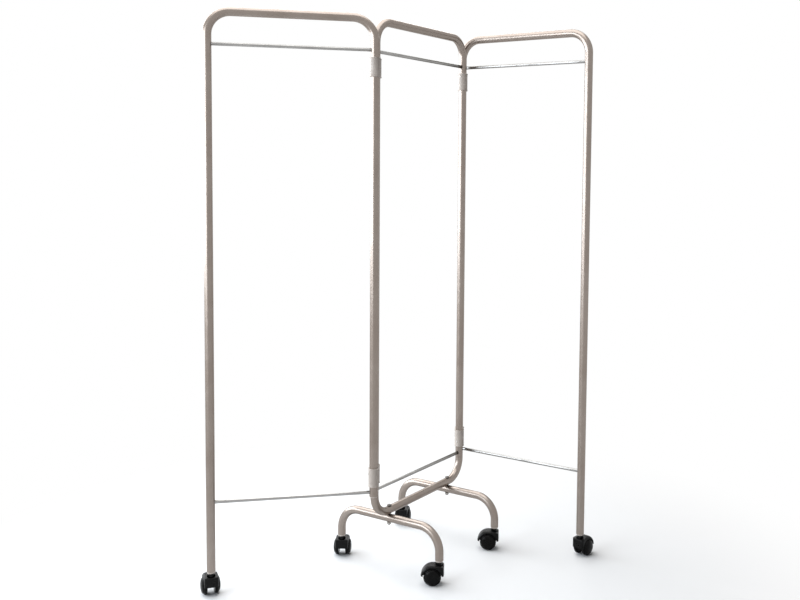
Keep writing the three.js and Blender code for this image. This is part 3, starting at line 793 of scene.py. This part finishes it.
def insert_mesh(bottom, top):
    """The plastic insert that holds a castor's pin: a rim below the tube and a plug inside it."""
    seat = bottom + INSERT_FLANGE
    bore, mouth, lead_in = STEM_BORE_RADIUS, 0.0006, 0.001
    rim = [(radius, bottom + height) for radius, height in flange_profile(INSERT_FLANGE, TUBE_RADIUS)]
    profile = [
        (bore, top), (bore, bottom + mouth), (bore + mouth, bottom), *rim,
        (PLUG_RADIUS, seat), (PLUG_RADIUS, top - lead_in), (PLUG_RADIUS - lead_in, top), (bore, top),
    ]
    return smooth(made_mesh(turned(profile), "insert"))


def end_plug_mesh(bottom, top):
    """The plug that closes a wing's short leg."""
    seat = bottom + END_PLUG_FLANGE
    rim = [(radius, bottom + height) for radius, height in flange_profile(END_PLUG_FLANGE, TUBE_RADIUS)]
    profile = [(0, bottom), *rim, (PLUG_RADIUS, seat), (PLUG_RADIUS, top), (0, top)]
    return smooth(made_mesh(turned(profile), "plug"))


def build_plugs():
    for side in ("left", "right"):
        node = f"{side}_end_plug"
        place = Matrix.Translation(raised(middle(node), 0))
        plug = end_plug_mesh(SHORT_LEG_END - END_PLUG_FLANGE, SHORT_LEG_END + END_PLUG_DEPTH)
        piece(f"{side}_leg_plug", plug, f"{side}_wing", [PALE], "pale_plastic", node, place=place)


# Castors


def hood_section(steps=8):
    """The cover's cross-section as (distance from the axle, sideways), from its top to one side."""
    section = []
    for step in range(steps + 1):
        angle = math.pi / 2 * (1 - step / steps)
        section.append((
            HOOD_RIM_RADIUS + (HOOD_RADIUS - HOOD_RIM_RADIUS) * math.sin(angle),
            HOOD_HALF_WIDTH - HOOD_SHOULDER * (1 - math.cos(angle)),
        ))
    return section


def arc(centre, radius, start, end, steps):
    """Points round a circle's arc, with angles in radians."""
    angles = [start + (end - start) * step / steps for step in range(steps + 1)]
    return [(centre[0] + radius * math.cos(angle), centre[1] + radius * math.sin(angle)) for angle in angles]


def hood_side_outline():
    """Side view: front wall, sloping top, round back with its tip, and the axle boss below.

    The round back runs just outside the turned cover, so that the two never share a surface.
    """
    round_off = HOOD_FRONT_ROUND
    top = Vector((HOOD_FRONT - round_off + TRAIL, HOOD_FRONT_TOP - AXLE_HEIGHT))
    touch = math.atan2(top.y, top.x) + math.acos(HOOD_RADIUS / top.length)
    drop = HOOD_SKIRT - AXLE_HEIGHT
    outside = HOOD_RADIUS + 0.0004
    tip_reach = outside - HOOD_TIP_ROUND
    back = math.pi - math.asin((drop + HOOD_TIP_ROUND) / tip_reach)
    boss = math.asin(drop / AXLE_BOSS_RADIUS)
    axle = (-TRAIL, AXLE_HEIGHT)
    tip = (axle[0] + tip_reach * math.cos(back), axle[1] + tip_reach * math.sin(back))
    corner = (HOOD_FRONT - round_off, HOOD_FRONT_TOP - round_off)
    outline = [(HOOD_FRONT, HOOD_SKIRT)]
    outline += arc(corner, round_off, 0, math.pi / 2, 6)
    outline += arc(axle, outside, touch, back, 36)
    outline += arc(tip, HOOD_TIP_ROUND, back, 1.5 * math.pi, 6)[1:]
    outline += arc(axle, AXLE_BOSS_RADIUS, math.pi - boss, 2 * math.pi + boss, 20)
    return outline


def hood_plan_outline():
    """Plan view, with upright rounded corners at the front wall."""
    half = HOOD_HALF_WIDTH
    past = half + 0.001
    behind = -0.08
    round_off = HOOD_CORNER_RADIUS
    front = HOOD_FRONT - round_off + 0.00005
    outline = [(behind, -past), (front, -past)]
    outline += arc((front, -half + round_off), round_off, -math.pi / 2, 0, 8)
    outline += arc((front, half - round_off), round_off, 0, math.pi / 2, 8)
    return [*outline, (behind, past)]


def hood_mesh():
    """The cover over both wheels, cut from a turned back and a drawn-out front."""
    section = hood_section()
    axle = Vector((-TRAIL, 0, AXLE_HEIGHT))
    lying = Matrix.Translation(axle) @ Matrix.Rotation(-math.pi / 2, 4, "X")
    profile = [(0, -HOOD_HALF_WIDTH)]
    profile += [(radius, -across) for radius, across in reversed(section)]
    profile += [*section, (0, HOOD_HALF_WIDTH)]
    back = turned(profile, 96)
    back.transform(lying)
    past = 0.004
    outline = [(HOOD_HALF_WIDTH, -past), (-HOOD_HALF_WIDTH, -past)]
    outline += [(-across, radius) for radius, across in reversed(section)]
    outline += [(across, radius) for radius, across in section]
    front = extruded(outline, 0, HOOD_FRONT + TRAIL + past)
    forwards = Matrix(((0, 0, 1, 0), (1, 0, 0, 0), (0, 1, 0, 0), (0, 0, 0, 1)))
    front.transform(Matrix.Translation(axle) @ forwards)
    side = extruded(hood_side_outline(), -0.04, 0.04)
    side.transform(Matrix.Rotation(math.pi / 2, 4, "X"))
    plan = extruded(hood_plan_outline(), -0.01, 0.12)
    cover = tidied(joined_with(made_mesh(back, "cover"), "UNION", made_mesh(front, "front")))
    cover = tidied(joined_with(cover, "INTERSECT", made_mesh(side, "side")))
    cover = tidied(joined_with(cover, "INTERSECT", made_mesh(plan, "plan")))
    outer, web = HOOD_HALF_WIDTH + 0.0005, HOOD_WEB / 2
    pockets = [
        peg(POCKET_RADIUS, axle + Vector((0, way * web, 0)), axle + Vector((0, way * outer, 0)), 96)
        for way in (-1, 1)
    ]
    through = Vector((0, web + 0.002, 0))
    bore = peg(AXLE_BORE_RADIUS, axle - through, axle + through)
    above = (0, 0, 0.1)
    pit = peg(PIT_RADIUS, (0, 0, PIT_FLOOR), above, 48)
    socket = peg(STEM_BORE_RADIUS, (0, 0, STEM_SOCKET_FLOOR), above)
    cover = joined_with(cover, "DIFFERENCE", *pockets, bore, pit, socket)
    return evened(smooth(soft_edges(cover, HOOD_EDGE, 3, angle=38), 40))


def stem_mesh(bottom, top):
    """The steel pin that joins the hood to the insert."""
    lead_in = 0.001
    profile = [
        (0, bottom), (STEM_RADIUS - STEM_END_BREAK, bottom), (STEM_RADIUS, bottom + STEM_END_BREAK),
        (STEM_RADIUS, top - lead_in), (STEM_RADIUS - lead_in, top), (0, top),
    ]
    return smooth(made_mesh(turned(profile, 36), "stem"))


def sleeve_mesh():
    """The black sleeve on the pin, which fills the gap between the insert and the hood."""
    bottom = PIT_FLOOR + 0.0003
    top = LEG_END - 0.0006 - INSERT_FLANGE
    inner, outer, round_off = STEM_RADIUS, NECK_RADIUS, 0.0006
    profile = [
        (inner, bottom), (outer - round_off, bottom), (outer, bottom + round_off), (outer, top - round_off),
        (outer - round_off, top), (inner, top), (inner, bottom),
    ]
    return smooth(made_mesh(turned(profile, 36), "sleeve"))


def wheel_mesh(way):
    """A wheel with a moulded rim and a domed cover disc. Its tread takes the second material."""
    tread, edge = WHEEL_RADIUS, WHEEL_RADIUS - 0.0026
    start, end = TREAD_START, TREAD_END
    disc, foot = tread - COVER_DISC_INSET, COVER_DISC_FOOT
    bore = [(0, WHEEL_BORE_DEPTH), (WHEEL_BORE_RADIUS, WHEEL_BORE_DEPTH), (WHEEL_BORE_RADIUS, 0)]
    web = [(WHEEL_HUB_RADIUS, 0), (0.0095, 0.0008), (edge - 0.003, 0.0008), (edge, 0.0004)]
    shoulder = [(edge + 0.0013, 0.0008), (tread - 0.0004, start - 0.0008), (tread, start)]
    cheek = [
        (tread, end), (tread - 0.0004, end + 0.0011), (tread - 0.0012, end + 0.0021),
        (tread - 0.0021, end + 0.0027),
    ]
    groove = [
        (disc + 0.0010, end + 0.0030), (disc + 0.0006, end + 0.0026), (disc + 0.0003, end + 0.0022),
        (disc, end + 0.0030),
    ]
    dome = [
        (disc * math.cos(angle), end + foot + (WHEEL_WIDTH - end - foot) * math.sin(angle))
        for angle in (math.radians(7.5 * step) for step in range(1, 12))
    ]
    profile = [*bore, *web, *shoulder, *cheek, *groove, *dome, (0, WHEEL_WIDTH)]
    mesh = turned([(radius, WHEEL_GAP / 2 + along) for radius, along in profile], 72)
    for face in mesh.faces:
        radii = [math.hypot(vert.co.x, vert.co.y) for vert in face.verts]
        face.material_index = 1 if min(radii) > tread - 0.0006 else 0
    mesh.transform(
        Matrix.Translation((-TRAIL, 0, AXLE_HEIGHT)) @ Matrix.Rotation(-way * math.pi / 2, 4, "X")
    )
    return smooth(made_mesh(mesh, "wheel"), 28)


def axle_mesh(reach):
    """The pin under the hood, this far to each side."""
    start, end = Vector((-TRAIL, -reach, AXLE_HEIGHT)), Vector((-TRAIL, reach, AXLE_HEIGHT))
    return smooth(soft_edges(peg(AXLE_RADIUS, start, end), 0.0004))


def build_castors():
    low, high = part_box("left_wing_castor_insert")
    insert = insert_mesh(low.z, high.z)
    low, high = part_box("left_wing_castor_stem")
    stem = stem_mesh(low.z, high.z)
    sleeve = sleeve_mesh()
    hood = hood_mesh()
    axle = axle_mesh(WHEEL_GAP / 2 + AXLE_GRIP)
    wheels = {"a": wheel_mesh(-1), "b": wheel_mesh(1)}
    for name in CASTORS:
        place = castor_place(name)
        holder = name if name.endswith("wing") else "centre"
        castor = f"{name}_castor"
        piece(f"{name}_leg_insert", insert, holder, [PALE], "pale_plastic", f"{castor}_insert", place=place)
        piece(f"{name}_swivel_pin", stem, holder, [DARK_STEEL], "plated_steel", f"{castor}_stem", place=place)
        piece(f"{name}_pin_sleeve", sleeve, holder, [HOOD_BLACK], "hood_plastic", place=place)
        piece(f"{name}_hood", hood, castor, [HOOD_BLACK], "hood_plastic", f"{castor}_hood", place=place)
        piece(f"{name}_axle_pin", axle, castor, [ZINC], "plated_steel", f"{castor}_axle", place=place)
        for side, wheel in wheels.items():
            piece(
                f"{name}_twin_wheel_{side}", wheel, f"{name}_wheel_{side}", [WHEEL_BLACK, TREAD_BLACK],
                "wheel_plastic", f"{castor}_wheel_{side}", place=place,
            )


# Studio


def add_camera():
    """The photograph's viewpoint: at chest height, left of the open side of the screen."""
    yaw, pitch, roll = (math.radians(angle) for angle in (CAMERA_YAW, CAMERA_PITCH, CAMERA_ROLL))
    forward = Vector((math.sin(yaw) * math.cos(pitch), math.cos(yaw) * math.cos(pitch), math.sin(pitch)))
    level = Vector((math.cos(yaw), -math.sin(yaw), 0))
    above = level.cross(forward)
    right = math.cos(roll) * level + math.sin(roll) * above
    up = math.cos(roll) * above - math.sin(roll) * level
    data = bpy.data.cameras.new("camera")
    data.sensor_width = SENSOR_WIDTH
    data.lens = FOCAL_LENGTH / IMAGE_WIDTH * data.sensor_width
    data.shift_x = (IMAGE_WIDTH / 2 - OPTICAL_CENTRE[0]) / IMAGE_WIDTH
    data.shift_y = (OPTICAL_CENTRE[1] - IMAGE_HEIGHT / 2) / IMAGE_WIDTH
    data.clip_end = 100
    camera = bpy.data.objects.new("camera", data)
    turn = Matrix((right, up, -forward)).transposed().to_4x4()
    camera.matrix_world = Matrix.Translation(centre_left + Vector(CAMERA_FROM_LEFT_HINGE)) @ turn
    bpy.context.scene.collection.objects.link(camera)
    bpy.context.scene.camera = camera


def add_softbox(name, size, place, aim, watts, colour=(1, 1, 1)):
    """A rectangular lamp that looks at a point."""
    data = bpy.data.lights.new(name, "AREA")
    data.shape = "RECTANGLE"
    data.size, data.size_y = size
    data.energy = watts
    data.color = colour
    lamp = bpy.data.objects.new(name, data)
    lamp.location = place
    lamp.rotation_euler = (Vector(aim) - Vector(place)).to_track_quat("-Z", "Y").to_euler()
    bpy.context.scene.collection.objects.link(lamp)


def seen_directly(nodes, links):
    """1 for camera, glossy and transmission rays, and 0 for the light that falls on things."""
    path = nodes.new("ShaderNodeLightPath")
    total = path.outputs["Is Camera Ray"]
    for name in ("Is Glossy Ray", "Is Transmission Ray"):
        adder = nodes.new("ShaderNodeMath")
        adder.operation = "MAXIMUM"
        links.new(total, adder.inputs[0])
        links.new(path.outputs[name], adder.inputs[1])
        total = adder.outputs["Value"]
    return total


def add_world(strength):
    """White surroundings that light the screen only this strongly."""
    world = bpy.data.worlds.new("studio")
    bpy.context.scene.world = world
    world.use_nodes = True
    nodes, links = world.node_tree.nodes, world.node_tree.links
    level = nodes.new("ShaderNodeMapRange")
    level.inputs["To Min"].default_value = strength
    level.inputs["To Max"].default_value = 1
    links.new(seen_directly(nodes, links), level.inputs["Value"])
    links.new(level.outputs["Result"], nodes["Background"].inputs["Strength"])
    nodes["Background"].inputs["Color"].default_value = (1, 1, 1, 1)


def add_floor():
    """A pale floor that keeps the shadow near the screen and fades to white further out."""
    mesh = bmesh.new()
    bmesh.ops.create_grid(mesh, x_segments=1, y_segments=1, size=30)
    floor = bpy.data.objects.new("floor", made_mesh(mesh, "floor"))
    bpy.context.scene.collection.objects.link(floor)
    material = bpy.data.materials.new("floor")
    material.use_nodes = True
    nodes, links = material.node_tree.nodes, material.node_tree.links
    matt = nodes["Principled BSDF"]
    matt.inputs["Base Color"].default_value = (FLOOR_GREY, FLOOR_GREY, FLOOR_GREY, 1)
    matt.inputs["Roughness"].default_value = 0.9
    matt.inputs["Specular IOR Level"].default_value = 0.1
    white = nodes.new("ShaderNodeEmission")
    place = nodes.new("ShaderNodeTexCoord")
    distance = nodes.new("ShaderNodeVectorMath")
    distance.operation = "LENGTH"
    fade = nodes.new("ShaderNodeMapRange")
    fade.interpolation_type = "SMOOTHSTEP"
    fade.inputs["From Min"].default_value = FADE_START
    fade.inputs["From Max"].default_value = FADE_END
    both = nodes.new("ShaderNodeMath")
    both.operation = "MULTIPLY"
    mixer = nodes.new("ShaderNodeMixShader")
    links.new(place.outputs["Object"], distance.inputs[0])
    links.new(distance.outputs["Value"], fade.inputs["Value"])
    links.new(fade.outputs["Result"], both.inputs[0])
    links.new(seen_directly(nodes, links), both.inputs[1])
    links.new(both.outputs["Value"], mixer.inputs["Fac"])
    links.new(matt.outputs["BSDF"], mixer.inputs[1])
    links.new(white.outputs["Emission"], mixer.inputs[2])
    links.new(mixer.outputs["Shader"], nodes["Material Output"].inputs["Surface"])
    floor.data.materials.append(material)


def build_studio():
    add_camera()
    add_world(SKY_LEVEL)
    add_floor()
    for name, x, y in (("near", -2.78, 1.38), ("far", -0.60, 3.04)):
        add_softbox(f"{name}_window", (2.8, 1.7), (x, y, 1.5), (0, 0, 1.5), WINDOW_POWER, DAYLIGHT)
    add_softbox("overhead", (3.2, 3.0), (-0.1, 0.3, 3.5), (0, 0, 1.2), OVERHEAD_POWER)
    add_softbox("high_window", (4.2, 1.7), (1.3, 2.2, 2.8), (0, 0, 0.2), OVERHEAD_POWER)
    bpy.context.scene.view_settings.view_transform = "Standard"


build_studio()
build_frames()
build_bolts()
build_clips()
build_plugs()
build_castors()
